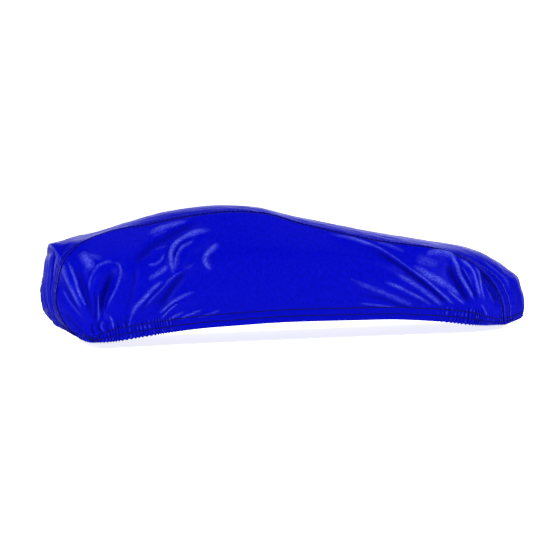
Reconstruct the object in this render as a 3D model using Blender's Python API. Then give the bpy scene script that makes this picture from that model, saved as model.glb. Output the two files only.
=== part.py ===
# A fitted stretch cover, held from above under its crown and open at the bottom.
# Metres. +X points to the nose, +Y to the left, +Z up. The origin is the underside of the crown.
# Five pieces of cloth: one top panel, two side panels and a seam band between each pair.

import math
from collections import namedtuple

import bmesh
import bpy
import numpy as np

CROWN_HEIGHT = 1.170        # outer face of the crown above the floor
CLOTH = 0.0024              # thickness of the cloth, towards the spine of the hollow
SEAM_GAP = 0.0003           # clearance between neighbouring pieces
BAND_WIDTH = 0.060          # seam band, measured across
HEM_DEPTH = 0.110           # elastic casing at the foot of each panel
GATHER_DEPTH = 0.007        # how far the ruffles of the gathered hem stand out and in

TOP_STEPS = 6               # mesh steps across the top panel
SPINE_TAIL_X = -1.05        # the spine is a straight line inside the hollow
SPINE_NOSE_X = 1.95
SPINE_HEIGHT = 0.30

BLUE = (0.003, 0.008, 0.52, 1.0)
BAND_BLUE = (0.003, 0.007, 0.44, 1.0)

# Cross sections from the tail hem over the crown to the nose hem. Heights are above the floor.
# seam_*: where the side panel is sewn on, with seam_y as the half width. mid_*: the centre line.
# steps: mesh steps from this section to the next. Those behind the rear corner and those before
# the front corner add up to the same number, the steps down each side panel.
Section = namedtuple("Section", "seam_x seam_y seam_z mid_x mid_z steps")
SECTIONS = (
    Section(-1.450, 0.710, 0.070, -1.560, 0.160, 4),   # tail hem
    Section(-1.580, 0.580, 0.220, -1.630, 0.290, 4),
    Section(-1.638, 0.495, 0.410, -1.658, 0.460, 4),
    Section(-1.625, 0.480, 0.570, -1.655, 0.630, 4),
    Section(-1.605, 0.490, 0.690, -1.636, 0.790, 4),
    Section(-1.540, 0.505, 0.785, -1.602, 0.888, 4),   # rear corner and tail lip
    Section(-1.430, 0.490, 0.885, -1.500, 0.905, 5),
    Section(-1.310, 0.430, 0.930, -1.330, 0.942, 5),
    Section(-1.140, 0.380, 0.962, -1.130, 0.993, 6),
    Section(-0.870, 0.400, 1.030, -0.860, 1.066, 6),
    Section(-0.530, 0.460, 1.103, -0.530, 1.138, 4),
    Section(-0.100, 0.500, 1.145, -0.100, 1.170, 3),   # crown
    Section(0.260, 0.500, 1.112, 0.260, 1.142, 3),
    Section(0.520, 0.550, 1.025, 0.520, 1.068, 3),
    Section(0.860, 0.630, 0.930, 0.880, 0.980, 4),
    Section(1.270, 0.690, 0.832, 1.310, 0.872, 6),
    Section(1.720, 0.700, 0.755, 1.800, 0.768, 6),
    Section(1.960, 0.700, 0.664, 2.100, 0.706, 7),
    Section(2.115, 0.690, 0.553, 2.335, 0.598, 7),     # front corner
    Section(2.230, 0.670, 0.425, 2.545, 0.435, 7),
    Section(2.310, 0.640, 0.250, 2.605, 0.265, 6),
    Section(2.330, 0.600, 0.045, 2.585, 0.085, 0),     # nose hem
)
REAR_CORNER = 5
FRONT_CORNER = 18

# One row for each section between the two corners: the side panel below the seam.
# belt_*: the widest line, sill_*: halfway from the belt to the hem, hem_*: the lower edge.
Side = namedtuple("Side", "belt_x belt_y belt_z sill_x sill_y hem_x hem_y hem_z")
SIDES = (
    Side(-1.612, 0.485, 0.640, -1.640, 0.505, -1.450, 0.710, 0.070),
    Side(-1.570, 0.660, 0.660, -1.560, 0.690, -1.400, 0.800, 0.058),
    Side(-1.440, 0.810, 0.700, -1.430, 0.830, -1.320, 0.855, 0.055),
    Side(-1.210, 0.880, 0.730, -1.190, 0.905, -1.160, 0.870, 0.062),
    Side(-0.880, 0.890, 0.755, -0.870, 0.915, -0.840, 0.870, 0.102),
    Side(-0.480, 0.880, 0.780, -0.480, 0.890, -0.450, 0.865, 0.140),
    Side(-0.060, 0.870, 0.795, -0.060, 0.875, -0.050, 0.860, 0.156),
    Side(0.280, 0.870, 0.785, 0.280, 0.870, 0.280, 0.858, 0.165),
    Side(0.580, 0.870, 0.760, 0.590, 0.870, 0.600, 0.858, 0.164),
    Side(0.920, 0.870, 0.720, 0.940, 0.880, 0.960, 0.858, 0.157),
    Side(1.310, 0.880, 0.650, 1.330, 0.895, 1.330, 0.860, 0.149),
    Side(1.750, 0.880, 0.560, 1.760, 0.890, 1.740, 0.860, 0.122),
    Side(2.050, 0.830, 0.480, 2.080, 0.840, 2.060, 0.820, 0.072),
    Side(2.225, 0.675, 0.440, 2.300, 0.650, 2.330, 0.600, 0.045),
)
BELT_AT = 0.40              # share of the way down at which the belt and the sill lie
SILL_AT = 0.70

# Soft folds of the right panel, drawn on its side view: start, bend and end, all x and height.
# width: half width across the fold. rise: how far it stands out, below zero for a trough.
Fold = namedtuple("Fold", "x0 z0 x1 z1 x2 z2 width rise")
FOLDS = (
    Fold(-1.33, 0.20, -1.36, 0.75, -1.16, 0.76, 0.050, 0.022),    # tongue, left side and top
    Fold(-1.14, 0.76, -1.06, 0.68, -1.27, 0.24, 0.050, 0.024),    # tongue, right side
    Fold(-1.20, 0.64, -1.24, 0.45, -1.30, 0.22, 0.060, -0.042),   # the hollow inside it
    Fold(-1.59, 0.76, -1.50, 0.56, -1.38, 0.22, 0.048, 0.020),
    Fold(-1.62, 0.60, -1.55, 0.36, -1.41, 0.14, 0.048, -0.022),
    Fold(-1.42, 0.82, -1.40, 0.74, -1.34, 0.70, 0.065, 0.016),
    Fold(-0.28, 1.02, -0.66, 0.96, -0.64, 0.62, 0.055, 0.022),    # long comma over the haunch
    Fold(-0.34, 0.92, -0.56, 0.82, -0.58, 0.62, 0.050, -0.016),
    Fold(-0.26, 0.88, -0.44, 0.74, -0.29, 0.64, 0.050, 0.014),
    Fold(-0.36, 0.77, -0.64, 0.62, -1.00, 0.27, 0.048, 0.024),    # diagonal into the gathers
    Fold(-0.62, 0.72, -0.86, 0.56, -1.10, 0.26, 0.060, -0.024),
    Fold(-0.40, 0.44, -0.62, 0.38, -0.84, 0.24, 0.048, 0.014),
    Fold(0.76, 0.93, 1.30, 0.80, 1.84, 0.22, 0.048, 0.026),       # the long crease of the front
    Fold(0.86, 0.84, 1.26, 0.70, 1.74, 0.24, 0.060, -0.028),
    Fold(0.90, 0.57, 1.24, 0.40, 1.64, 0.22, 0.055, 0.018),
    Fold(1.64, 0.71, 1.80, 0.74, 1.90, 0.60, 0.060, 0.026),       # glossy pocket
    Fold(1.88, 0.64, 1.93, 0.48, 2.04, 0.22, 0.045, 0.026),
    Fold(1.80, 0.58, 1.88, 0.42, 1.98, 0.24, 0.045, -0.022),
    Fold(1.97, 0.58, 2.05, 0.42, 2.13, 0.20, 0.040, 0.020),
    Fold(2.10, 0.52, 2.17, 0.40, 2.23, 0.18, 0.040, -0.020),
)
FOLD_POINTS = 14            # points along a fold from which its distance is measured
FAR_SHIFT = 0.045           # the left panel hangs in like folds, each shifted and weaker
FAR_SHARE = 0.8

# The cloth hangs unevenly. The right seam is pulled up over the haunch, and the left end of the
# tail hem rides up and back.
HAUNCH_LIFT_X = -1.12
HAUNCH_LIFT_LENGTH = 0.24
HAUNCH_LIFT = 0.045
TAIL_RIDE_UP = 0.085
TAIL_RIDE_BACK = 0.035

# Stretches of the side hem that the elastic gathers: first x, last x.
GATHERS = ((-1.50, -0.66), (1.62, 2.34))
GATHER_FADE = 0.12          # length over which a stretch of gathers fades out


def bump(value, centre, half_length):
    """A soft rise of height 1 around a centre."""
    return math.exp(-((value - centre) / half_length) ** 2)


def smooth_curve(points, knots, at):
    """A smooth curve through the points, each reached at its knot."""
    points = np.asarray(points, float)
    knots = np.asarray(knots, float)
    slopes = np.gradient(points, knots, axis=0)
    k = int(np.clip(np.searchsorted(knots, at) - 1, 0, len(knots) - 2))
    span = knots[k + 1] - knots[k]
    t = (at - knots[k]) / span
    start = (1 + 2 * t) * (1 - t) ** 2 * points[k] + t * (1 - t) ** 2 * span * slopes[k]
    end = t * t * (3 - 2 * t) * points[k + 1] + t * t * (t - 1) * span * slopes[k + 1]
    return start + end


def stations(first, last):
    """Section numbers, with fractions, of every mesh step from one section to another."""
    values = [float(first)]
    for k in range(first, last):
        steps = SECTIONS[k].steps
        values += [k + (n + 1) / steps for n in range(steps)]
    return values


def seam_point(at, side):
    """A point of the seam; side is -1 for the right seam and 1 for the left one."""
    rows = [(s.seam_x, s.seam_y, s.seam_z) for s in SECTIONS]
    x, y, z = smooth_curve(rows, range(len(rows)), at)
    if side < 0:
        z += HAUNCH_LIFT * bump(x, HAUNCH_LIFT_X, HAUNCH_LIFT_LENGTH)
    elif at < REAR_CORNER:
        z += TAIL_RIDE_UP * (1 - at / REAR_CORNER) ** 2
        x -= TAIL_RIDE_BACK * bump(at, 0.5, 1.0)
    return np.array((x, side * y, z))


def top_point(at, across):
    """A point of the crown between the seams; across runs from -1 at the right to 1 at the left."""
    rows = [(s.mid_x, 0.0, s.mid_z) for s in SECTIONS]
    middle = smooth_curve(rows, range(len(rows)), at)
    seam = seam_point(at, -1 if across < 0 else 1)
    share = across * across
    x = middle[0] + (seam[0] - middle[0]) * share
    z = middle[2] + (seam[2] - middle[2]) * share
    return np.array((x, abs(across) * seam[1], z))


def band_edge(at, side):
    """How far across the seam band ends and the top panel starts."""
    return 1.0 - BAND_WIDTH / abs(seam_point(at, side)[1])


def fold_path(fold):
    """Points along a fold, bent once."""
    share = np.linspace(0.0, 1.0, FOLD_POINTS)[:, None]
    start = np.array((fold.x0, fold.z0))
    bend = np.array((fold.x1, fold.z1))
    end = np.array((fold.x2, fold.z2))
    return (1 - share) ** 2 * start + 2 * share * (1 - share) * bend + share ** 2 * end


def fold_rise(x, z, side, paths):
    """How far the folds move the cloth out at a place on the side view."""
    total = 0.0
    for n, (fold, path) in enumerate(zip(FOLDS, paths)):
        drift = 0.0 if side < 0 else FAR_SHIFT * math.sin(2.3 * n + 1.0)
        share = 1.0 if side < 0 else FAR_SHARE
        away = np.hypot(path[:, 0] + drift - x, path[:, 1] - z)
        nearest = int(np.argmin(away))
        along = nearest / (FOLD_POINTS - 1)
        taper = min(1.0, 0.35 + 3.0 * along) * min(1.0, 0.35 + 3.0 * (1.0 - along))
        total += share * fold.rise * taper * math.exp(-(away[nearest] / fold.width) ** 2)
    return total


def gathering(x):
    """1 where the elastic gathers the side hem, 0 where it hangs smooth."""
    most = 0.0
    for first, last in GATHERS:
        rise = min((x - first) / GATHER_FADE, (last - x) / GATHER_FADE)
        most = max(most, min(1.0, max(0.0, rise)))
    return most


def side_grid(side):
    """Outer face of a side panel: one row of points down the cloth for each step of the seam."""
    seam_at = stations(REAR_CORNER, FRONT_CORNER)
    rear = [seam_point(at, side) for at in reversed(stations(0, REAR_CORNER))]
    front = [seam_point(at, side) for at in stations(FRONT_CORNER, len(SECTIONS) - 1)]
    side_steps = len(rear) - 1
    sections = np.arange(REAR_CORNER, FRONT_CORNER + 1)
    knots = (0.0, BELT_AT, SILL_AT, 1.0)
    belt = [(r.belt_x, side * r.belt_y, r.belt_z) for r in SIDES]
    sill = [(r.sill_x, side * r.sill_y, (r.belt_z + r.hem_z) / 2) for r in SIDES]
    hem = [(r.hem_x, side * r.hem_y, r.hem_z) for r in SIDES]

    grid = np.zeros((len(seam_at), side_steps + 1, 3))
    for i, at in enumerate(seam_at):
        down = [seam_point(at, side)] + [smooth_curve(row, sections, at) for row in (belt, sill, hem)]
        for j in range(side_steps + 1):
            grid[i, j] = smooth_curve(down, knots, j / side_steps)

    # The two ends are drawn onto the seam, and the shift fades over the panel.
    first_shift = np.array(rear) - grid[0]
    last_shift = np.array(front) - grid[-1]
    for i, at in enumerate(seam_at):
        share = i / (len(seam_at) - 1)
        grid[i] += first_shift * (1 - share) ** 4 + last_shift * share ** 4

    paths = [fold_path(fold) for fold in FOLDS]
    for i in range(1, len(seam_at) - 1):
        for j in range(1, side_steps + 1):
            x, y, z = grid[i, j]
            edge = min(1.0, j / 2, i / 2, (len(seam_at) - 1 - i) / 2)
            out = -inward(grid[i, j])
            out[2] *= 0.3
            above_hem = z - grid[i, side_steps][2]
            casing = max(0.0, 1.0 - above_hem / (1.6 * HEM_DEPTH))
            ruffle = GATHER_DEPTH * gathering(x) * casing * (1 if i % 2 else -1)
            grid[i, j] += out * (edge * fold_rise(x, z, side, paths) * (1 - casing) + ruffle)
    return grid


def top_grid(first_across, last_across, steps):
    """Outer face of a strip of the crown, its two edges given as functions of the section."""
    at_values = stations(0, len(SECTIONS) - 1)
    grid = np.zeros((len(at_values), steps + 1, 3))
    for i, at in enumerate(at_values):
        for j in range(steps + 1):
            share = j / steps
            across = first_across(at) * (1 - share) + last_across(at) * share
            grid[i, j] = top_point(at, across)
    return grid


def inward(point):
    """Unit vector from a point of the cloth to the spine of the hollow."""
    foot = np.array((min(max(point[0], SPINE_TAIL_X), SPINE_NOSE_X), 0.0, SPINE_HEIGHT))
    away = foot - point
    return away / np.linalg.norm(away)


def trim_edge(grid, edge):
    """Draws an edge of a grid, a run of (row, column) places, back by the seam gap."""
    rows, columns = grid.shape[:2]
    points = np.array([grid[i, j] for i, j in edge])
    along = np.gradient(points, axis=0)
    along /= np.linalg.norm(along, axis=1, keepdims=True)
    inside = [(min(max(i, 1), rows - 2), min(max(j, 1), columns - 2)) for i, j in edge]
    step = np.array([grid[i, j] for i, j in inside]) - points
    step -= along * np.sum(step * along, axis=1, keepdims=True)
    points += step * (SEAM_GAP / np.linalg.norm(step, axis=1, keepdims=True))
    for (i, j), point in zip(edge, points):
        grid[i, j] = point


def cloth_sheet(name, grid, colour):
    """A closed sheet of cloth from the grid of its outer face."""
    rows, columns = grid.shape[:2]
    mesh = bmesh.new()
    layers = []
    for thickness in (0.0, CLOTH):
        layer = []
        for i in range(rows):
            places = [grid[i, j] + inward(grid[i, j]) * thickness for j in range(columns)]
            layer.append([mesh.verts.new((p[0], p[1], p[2] - CROWN_HEIGHT + CLOTH)) for p in places])
        layers.append(layer)
    outer, inner = layers
    for i in range(rows - 1):
        for j in range(columns - 1):
            for layer in layers:
                a, b, c, d = layer[i][j], layer[i + 1][j], layer[i + 1][j + 1], layer[i][j + 1]
                mesh.faces.new((a, b, c))
                mesh.faces.new((a, c, d))
    rim = [(i, 0) for i in range(rows)] + [(rows - 1, j) for j in range(1, columns)]
    rim += [(i, columns - 1) for i in range(rows - 2, -1, -1)] + [(0, j) for j in range(columns - 2, 0, -1)]
    for (i, j), (k, m) in zip(rim, rim[1:] + rim[:1]):
        mesh.faces.new((outer[i][j], outer[k][m], inner[k][m]))
        mesh.faces.new((outer[i][j], inner[k][m], inner[i][j]))
    bmesh.ops.recalc_face_normals(mesh, faces=mesh.faces)
    data = bpy.data.meshes.new(name)
    mesh.to_mesh(data)
    mesh.free()
    data.shade_smooth()
    data.set_sharp_from_angle(angle=math.radians(50))
    data.materials.append(cloth_material(name + "_cloth", colour))
    sheet = bpy.data.objects.new(name, data)
    bpy.context.collection.objects.link(sheet)
    return sheet


def cloth_material(name, colour):
    """Smooth stretch satin."""
    material = bpy.data.materials.new(name)
    material.use_nodes = True
    shader = material.node_tree.nodes["Principled BSDF"]
    shader.inputs["Base Color"].default_value = colour
    shader.inputs["Roughness"].default_value = 0.42
    shader.inputs["Metallic"].default_value = 0.0
    return material


def build():
    for old in list(bpy.data.objects):
        bpy.data.objects.remove(old, do_unlink=True)

    top = top_grid(lambda at: -band_edge(at, -1), lambda at: band_edge(at, 1), TOP_STEPS)
    for column in (0, TOP_STEPS):
        trim_edge(top, [(i, column) for i in range(top.shape[0])])
    cloth_sheet("top_panel", top, BLUE)

    for side, label in ((-1, "right"), (1, "left")):
        band = top_grid(lambda at: side * band_edge(at, side), lambda at: side * 1.0, 1)
        cloth_sheet("seam_band_" + label, band, BAND_BLUE)
        panel = side_grid(side)
        last, foot = panel.shape[0] - 1, panel.shape[1] - 1
        seam_edge = [(0, j) for j in range(foot, 0, -1)]
        seam_edge += [(i, 0) for i in range(last + 1)]
        seam_edge += [(last, j) for j in range(1, foot + 1)]
        trim_edge(panel, seam_edge)
        cloth_sheet("side_panel_" + label, panel, BLUE)


build()
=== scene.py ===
# A fitted stretch cover of satin knit, held from above under its crown and open at the bottom.
# Metres. +X points to the nose, +Y to the left, +Z up, and the origin is the underside of the crown.
# Heights in the dictionaries are above the floor.

import math
from collections import namedtuple

import bmesh
import bpy
import numpy as np
from mathutils import Matrix, Vector


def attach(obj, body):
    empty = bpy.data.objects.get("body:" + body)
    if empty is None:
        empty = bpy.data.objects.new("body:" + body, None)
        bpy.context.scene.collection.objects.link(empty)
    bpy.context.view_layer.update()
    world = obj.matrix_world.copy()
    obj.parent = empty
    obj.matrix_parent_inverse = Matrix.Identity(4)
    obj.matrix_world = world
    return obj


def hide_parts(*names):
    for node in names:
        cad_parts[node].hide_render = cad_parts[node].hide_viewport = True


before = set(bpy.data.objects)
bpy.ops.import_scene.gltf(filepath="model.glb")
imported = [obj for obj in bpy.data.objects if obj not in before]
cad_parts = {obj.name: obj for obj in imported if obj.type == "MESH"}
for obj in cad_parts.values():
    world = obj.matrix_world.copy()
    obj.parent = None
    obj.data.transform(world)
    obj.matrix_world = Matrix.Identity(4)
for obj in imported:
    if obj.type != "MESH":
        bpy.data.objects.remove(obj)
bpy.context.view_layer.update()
print("frame loaded:", ", ".join(sorted(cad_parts)))


# ---- camera: the photograph's angle, a very long lens far away ----

photo = {
    "side": 550,  # pixels, the photograph's frame
    "azimuth": 8.5,  # degrees, turned towards the tail
    "elevation": 3.3,
    "roll": 1.94,
    "distance": 150.0,
    "pixelsPerMetre": 113.0,  # at the crown
    "originPixel": (233.5, 337.5),  # where the floor point under the origin is seen
    "film": 36,  # millimetres
}

form = {
    "crownHeight": 1.17,  # outer face of the crown above the floor
    "crownCloth": 0.0024,  # the origin lies this far under that face
    "bandWidth": 0.06,  # seam band, measured across
    "bandWiden": (0.03, 0.045),  # wider by this at the tail and the nose
    "cloth": 0.0012,  # thickness of the knit
    "rearCorner": 5,  # sections where a side panel starts and ends
    "frontCorner": 18,
    "beltAt": 0.4,  # share of the way down a side panel
    "sillAt": 0.7,
    "beltBend": 0.045,  # share over which the belt bends, where taut
    "endBend": 0.16,  # towards both ends
    "tautSpan": (8.5, 16.5, 2.5, 3.0),  # sections: first, last, over how many each fades
    "noseLevels": (0, 0.35, 0.7, 1),  # down the front edge, where the last sections are met
    "haunchX": -1.12,  # the right seam is pulled up here
    "haunchLength": 0.24,
    "haunchLift": 0.045,
    "tailRideUp": 0.085,  # the left end of the tail hem rides up and back
    "tailRideBack": 0.035,
    "spine": (-1.05, 1.95, 0.3),  # a line inside the hollow: x, x, height
}
floorZ = form["crownCloth"] - form["crownHeight"]
floorPoint = np.array((0, 0, floorZ))


def addObject(name, data):
    made = bpy.data.objects.new(name, data)
    bpy.context.collection.objects.link(made)
    return made


def makeCamera():
    azimuth, elevation, roll = (math.radians(photo[k]) for k in ("azimuth", "elevation", "roll"))
    along = Vector((math.cos(azimuth), -math.sin(azimuth), 0))
    ahead = Vector((math.sin(azimuth) * math.cos(elevation), math.cos(azimuth) * math.cos(elevation),
                    -math.sin(elevation)))
    up = along.cross(ahead)
    right = along * math.cos(roll) - up * math.sin(roll)
    top = along * math.sin(roll) + up * math.cos(roll)
    offset = [(photo["side"] / 2 - p) / photo["pixelsPerMetre"] for p in photo["originPixel"]]
    aim = Vector((0, 0, floorZ)) + right * offset[0] - top * offset[1]
    data = bpy.data.cameras.new("camera")
    data.sensor_width = photo["film"]
    data.lens = photo["film"] * photo["pixelsPerMetre"] * photo["distance"] / photo["side"]
    data.clip_end = 4 * photo["distance"]
    camera = addObject("camera", data)
    turn = Matrix((right, top, -ahead)).transposed().to_4x4()
    camera.matrix_world = Matrix.Translation(aim - ahead * photo["distance"]) @ turn
    bpy.context.scene.camera = camera


# ---- the hanging form: sections of the seams and the side panels ----

# seam: where the side panel is sewn on, with seamY as the half width. mid: the centre line.
Section = namedtuple("Section", "seamX seamY seamZ midX midZ")
sections = [Section(*row) for row in (
    (-1.45, .71, .07, -1.56, .16),  # tail hem
    (-1.58, .58, .22, -1.63, .29),
    (-1.638, .495, .41, -1.658, .46),
    (-1.615, .48, .57, -1.646, .63),
    (-1.588, .49, .69, -1.622, .79),
    (-1.538, .505, .785, -1.6, .89),  # rear corner and tail lip
    (-1.43, .49, .885, -1.5, .914),
    (-1.31, .43, .93, -1.33, .942),
    (-1.14, .38, .962, -1.13, .993),
    (-.87, .4, 1.03, -.86, 1.066),
    (-.53, .46, 1.103, -.53, 1.138),
    (-.1, .5, 1.145, -.1, 1.17),  # crown
    (.26, .5, 1.112, .26, 1.142),
    (.52, .55, 1.025, .52, 1.068),
    (.86, .63, .93, .88, .98),
    (1.27, .69, .832, 1.31, .878),
    (1.72, .7, .755, 1.8, .778),
    (1.96, .7, .664, 2.1, .716),
    (2.115, .69, .553, 2.337, .606),  # front corner
    (2.23, .67, .425, 2.552, .424),
    (2.31, .64, .25, 2.61, .235),
    (2.33, .6, .045, 2.585, .085),  # nose hem
)]
# One row for each section between the corners. belt: the widest line, hem: the lower edge.
Side = namedtuple("Side", "beltX beltY beltZ sillX sillY hemX hemY hemZ")
sides = [Side(*row) for row in (
    (-1.612, .485, .64, -1.64, .505, -1.45, .71, .07),
    (-1.57, .66, .66, -1.56, .69, -1.4, .8, .058),
    (-1.44, .81, .7, -1.43, .83, -1.32, .855, .055),
    (-1.21, .88, .73, -1.19, .905, -1.16, .87, .062),
    (-.88, .89, .755, -.87, .915, -.84, .87, .102),
    (-.48, .88, .78, -.48, .89, -.45, .865, .14),
    (-.06, .87, .795, -.06, .875, -.05, .86, .156),
    (.28, .87, .785, .28, .87, .28, .858, .165),
    (.58, .87, .76, .59, .87, .6, .858, .164),
    (.92, .87, .72, .94, .88, .96, .858, .157),
    (1.31, .88, .65, 1.33, .895, 1.33, .86, .148),
    (1.75, .88, .56, 1.76, .89, 1.74, .86, .111),
    (2.05, .83, .48, 2.08, .84, 2.06, .82, .064),
    (2.225, .675, .44, 2.3, .65, 2.33, .6, .045),
)]
lastSection = len(sections) - 1


def smoothCurve(points, knots, at):
    # a smooth curve through the points, each reached at its knot
    points, knots, at = (np.asarray(values, float) for values in (points, knots, at))
    slopes = np.gradient(points, knots, axis=0)
    k = np.clip(np.searchsorted(knots, at) - 1, 0, len(knots) - 2)
    span = (knots[k + 1] - knots[k])[..., None]
    t = (at - knots[k])[..., None] / span
    start = (1 + 2 * t) * (1 - t) ** 2 * points[k] + t * (1 - t) ** 2 * span * slopes[k]
    end = t * t * (3 - 2 * t) * points[k + 1] + t * t * (t - 1) * span * slopes[k + 1]
    return start + end


def smoothStep(value):
    value = np.clip(value, 0.0, 1.0)
    return value * value * (3 - 2 * value)


def between(value, first, last, fadeIn, fadeOut):
    return smoothStep((value - first) / fadeIn) * smoothStep((last - value) / fadeOut)


def bell(value):
    return np.exp(-value ** 2)


def spread(u, v):
    return np.broadcast_arrays(np.asarray(u, float), np.asarray(v, float))


def sizeOf(vectors):
    return np.linalg.norm(vectors, axis=-1)


def metres(points, axis=0):
    # length along the cloth from its first edge, along one way of the points
    step = sizeOf(np.diff(points, axis=axis))
    start = np.zeros_like(np.take(step, [0], axis=axis))
    return np.concatenate((start, np.cumsum(step, axis=axis)), axis=axis)


def seamPoint(at, side):
    # a point of the long seam; side is -1 on the right and 1 on the left
    at = np.asarray(at, float)
    point = smoothCurve([row[:3] for row in sections], range(len(sections)), at)
    if side < 0:
        point[..., 2] += form["haunchLift"] * bell((point[..., 0] - form["haunchX"]) / form["haunchLength"])
    else:
        tail = np.clip(1 - at / form["rearCorner"], 0, None)
        point[..., 2] += form["tailRideUp"] * tail ** 2
        point[..., 0] -= form["tailRideBack"] * bell(at - 0.5) * (tail > 0)
    point[..., 1] *= side
    return point


# where the cloth is drawn over a sharp corner: section, how far out, half width, which way
lipWay, noseWay = np.array((-0.7, 0.0, 0.7)), np.array((0.8, 0.0, 0.6))
corners = ((4.95, 0.01, 0.45, lipWay), (4.25, -0.006, 0.4, lipWay),
           (18.95, 0.012, 0.35, noseWay), (19.5, -0.009, 0.4, noseWay))


def topPoint(at, across):
    # a point of the crown between the seams; across runs from -1 at the right to 1 at the left
    at, across = spread(at, across)
    middle = smoothCurve([(s.midX, 0.0, s.midZ) for s in sections], range(len(sections)), at)
    for where, out, half, way in corners:
        middle = middle + way * (out * np.clip(1 - np.abs(at - where) / half, 0, None))[..., None]
    share = across[..., None]
    seam = np.where(share < 0, seamPoint(at, -1), seamPoint(at, 1))
    point = middle + (seam - middle) * share ** 2
    point[..., 1] = np.abs(across) * seam[..., 1]
    return point


def softPolyline(levels, knots, bends, at):
    # a path through the levels whose inner corners are rounded over the bends
    slopes = [(levels[k + 1] - levels[k]) / (knots[k + 1] - knots[k]) for k in range(len(knots) - 1)]

    def raw(d):
        total = (slopes[0] + slopes[-1]) / 2 * d
        for k, bend in enumerate(bends):
            total = total + (slopes[k + 1] - slopes[k]) / 2 * np.sqrt((d - knots[k + 1]) ** 2 + bend ** 2)
        return total

    share = at[..., None]
    return raw(share) + (levels[0] - raw(0.0)) * (1 - share) + (levels[-1] - raw(1.0)) * share


def edgeSection(down, side):
    # the section that a side panel meets that far down its rear (-1) or front (1) edge
    if side < 0:
        return form["rearCorner"] * (1 - down)
    return np.interp(down, form["noseLevels"], range(form["frontCorner"], lastSection + 1))


def sidePoint(at, down, side):
    # a point of the smooth side panel; down runs from 0 at the seam to 1 at the hem
    at, down = spread(at, down)
    first, last = form["rearCorner"], form["frontCorner"]
    belt = [(r.beltX, side * r.beltY, r.beltZ) for r in sides]
    sill = [(r.sillX, side * r.sillY, (r.beltZ + r.hemZ) / 2) for r in sides]
    hem = [(r.hemX, side * r.hemY, r.hemZ) for r in sides]

    def loft(a, d):
        levels = [smoothCurve(line, range(first, last + 1), a) for line in (belt, sill, hem)]
        taut = between(a, *form["tautSpan"])
        bend = (form["endBend"] + (form["beltBend"] - form["endBend"]) * taut)[..., None]
        knots = (0.0, form["beltAt"], form["sillAt"], 1.0)
        return softPolyline([seamPoint(a, side)] + levels, knots, (bend, bend * 1.5), d)

    rear = seamPoint(edgeSection(down, -1), side) - loft(np.full_like(at, first), down)
    front = seamPoint(edgeSection(down, 1), side) - loft(np.full_like(at, last), down)
    share = ((at - first) / (last - first))[..., None]
    return loft(at, down) + rear * (1 - share) ** 4 + front * share ** 4


def outward(point):
    # from the line inside the hollow to the cloth
    x = point[..., 0]
    foot = np.stack((np.clip(x, *form["spine"][:2]), 0 * x, np.full_like(x, form["spine"][2])), axis=-1)
    return (point - foot) / sizeOf(point - foot)[..., None]


def normalOf(surface, u, v):
    # outward normals by small steps over a surface
    step = 1e-3
    du = surface(u + step, v) - surface(u - step, v)
    dv = surface(u, v + step) - surface(u, v - step)
    normal = np.cross(du, dv)
    return normal / sizeOf(normal)[..., None]


# ---- creases, placed on the side view ----

# path: x and height from end to end. half: half width. rise: how far it stands out, below zero for
# a trough. lean: wider by this share on the left of its path, narrower on the right. fade: share of
# its length over which an end dies out. The last column: painted highlight along it, painted shade where
# below zero.
Crease = namedtuple("Crease", "path half rise lean fadeIn fadeOut taut", defaults=(0, 0.25, 0.25, None))


def creases(*rows):
    return [Crease(*row) for row in rows]


# broad forms, the same as the solid's
broadFolds = creases(
    (((-1.33, .2), (-1.35, .55), (-1.16, .76)), .05, .02),
    (((-1.14, .76), (-1.11, .62), (-1.27, .24)), .05, .022),
    (((-1.2, .66), (-1.24, .45), (-1.3, .22)), .052, -.034),
    (((-1.59, .76), (-1.5, .53), (-1.38, .22)), .045, .018),
    (((-1.62, .6), (-1.54, .38), (-1.41, .14)), .042, -.02),
    (((-1.42, .84), (-1.37, .77), (-1.33, .71)), .06, .034),
    (((-.28, 1.02), (-.6, .9), (-.64, .62)), .05, .017),
    (((-.34, .92), (-.53, .8), (-.58, .62)), .05, -.014),
    (((-.26, .88), (-.39, .76), (-.29, .64)), .046, .013),
    (((-.36, .77), (-.64, .59), (-1, .27)), .045, .018),
    (((-.5, .7), (-.72, .46), (-.86, .27)), .055, -.02),
    (((-.4, .44), (-.62, .37), (-.84, .24)), .045, .012),
    (((.76, .93), (1.32, .7), (1.84, .22)), .04, .02),
    (((.9, .86), (1.3, .66), (1.76, .25)), .05, -.02),
    (((.9, .57), (1.26, .4), (1.64, .22)), .05, .014),
    (((1.64, .71), (1.84, .69), (1.92, .52)), .055, .02),
    (((1.88, .64), (1.94, .46), (2.04, .22)), .036, .018),
    (((1.8, .62), (1.88, .42), (1.99, .24)), .042, -.02),
    (((1.97, .6), (2.05, .42), (2.12, .22)), .034, .015),
    (((2.11, .54), (2.2, .38), (2.28, .2)), .034, -.02),
)

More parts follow.
